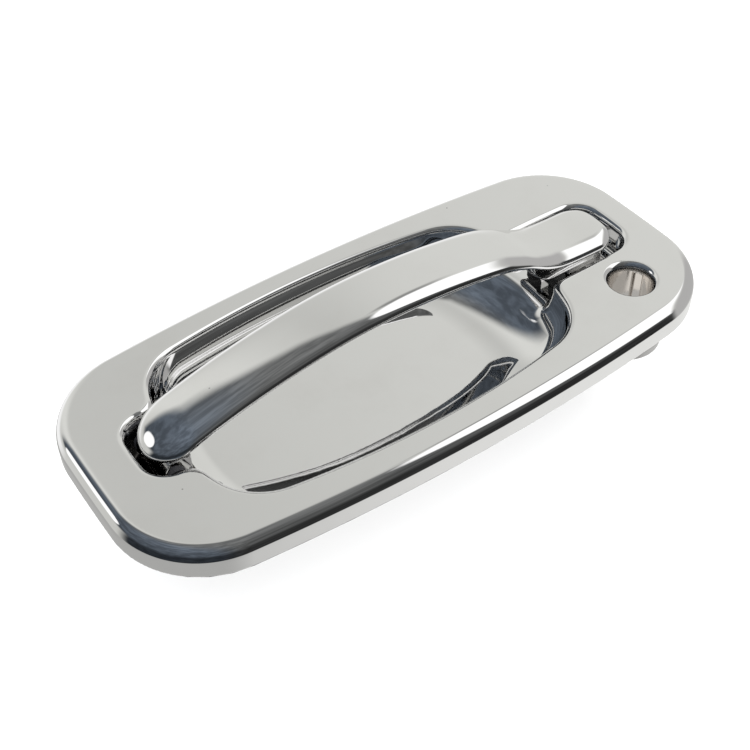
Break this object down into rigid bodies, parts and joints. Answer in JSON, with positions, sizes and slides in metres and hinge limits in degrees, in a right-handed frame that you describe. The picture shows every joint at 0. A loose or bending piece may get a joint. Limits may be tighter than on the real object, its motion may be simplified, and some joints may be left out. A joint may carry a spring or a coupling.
{
  "type": "car door handle",
  "caption": "Chrome outside pull handle for a car door: bezel with finger cup and keyhole, hinged strap grip, sprung bell crank behind.",
  "frame": {"origin": "centre of the bezel's outline, on the plane of the door skin under its rim", "axes": "+Z out of the door, +X along the handle towards the keyhole end (rear of the door), +Y away from the keyhole side"},
  "size_m": [0.238, 0.109, 0.0722],
  "materials": {
    "chrome": "mirror chrome plate",
    "chrome_backing": "chrome plate, slightly duller",
    "zinc": "zinc plated",
    "spring_steel": "oiled spring steel",
    "foam": "closed-cell foam rubber",
    "rubber": "moulded rubber",
    "black_plastic": "moulded nylon",
    "white_plastic": "natural acetal"
  },
  "bodies": {
    "housing": {"bezel": "chrome", "door_gasket": "foam", "hinge_pin": "zinc", "hinge_clip": "spring_steel", "rubber_bumper_near": "rubber", "rubber_bumper_far": "rubber", "crank_pin": "zinc", "crank_clip": "spring_steel", "return_spring": "spring_steel", "stud_front": "zinc", "stud_rear": "zinc", "washer_front": "zinc", "washer_rear": "zinc", "nut_front": "zinc", "nut_rear": "zinc"},
    "handle": {"handle_shell": "chrome", "handle_backing": "chrome_backing", "handle_screw_front": "zinc", "handle_screw_rear": "zinc", "hinge_bushing_near": "white_plastic", "hinge_bushing_far": "white_plastic", "pull_leg": "zinc", "leg_screw": "zinc"},
    "crank": {"bell_crank": "zinc", "crank_bushing": "white_plastic"},
    "rod_clip": {"rod_clip": "black_plastic"}
  },
  "joints": [
    {"name": "handle_pull", "type": "hinge", "parent": "housing", "child": "handle", "pos_m": [-0.091, 0.0025, 0.001], "axis": [0, -1, 0], "range_deg": [0, 7]},
    {"name": "crank_turn", "type": "hinge", "parent": "housing", "child": "crank", "pos_m": [0.062, 0.0038, -0.018], "axis": [0, -1, 0], "range_deg": [0, 50], "stiffness_Nm_per_rad": 0.15, "springref_deg": -34.38, "deforming": ["return_spring"]},
    {"name": "rod_clip_swivel", "type": "hinge", "parent": "crank", "child": "rod_clip", "pos_m": [0.0511, 0.0015, -0.03356], "axis": [0, -1, 0], "range_deg": [-45, 45]}
  ],
  "couplings": [
    {"joint": "crank_turn", "follows": "handle_pull", "ratio": 7}
  ]
}
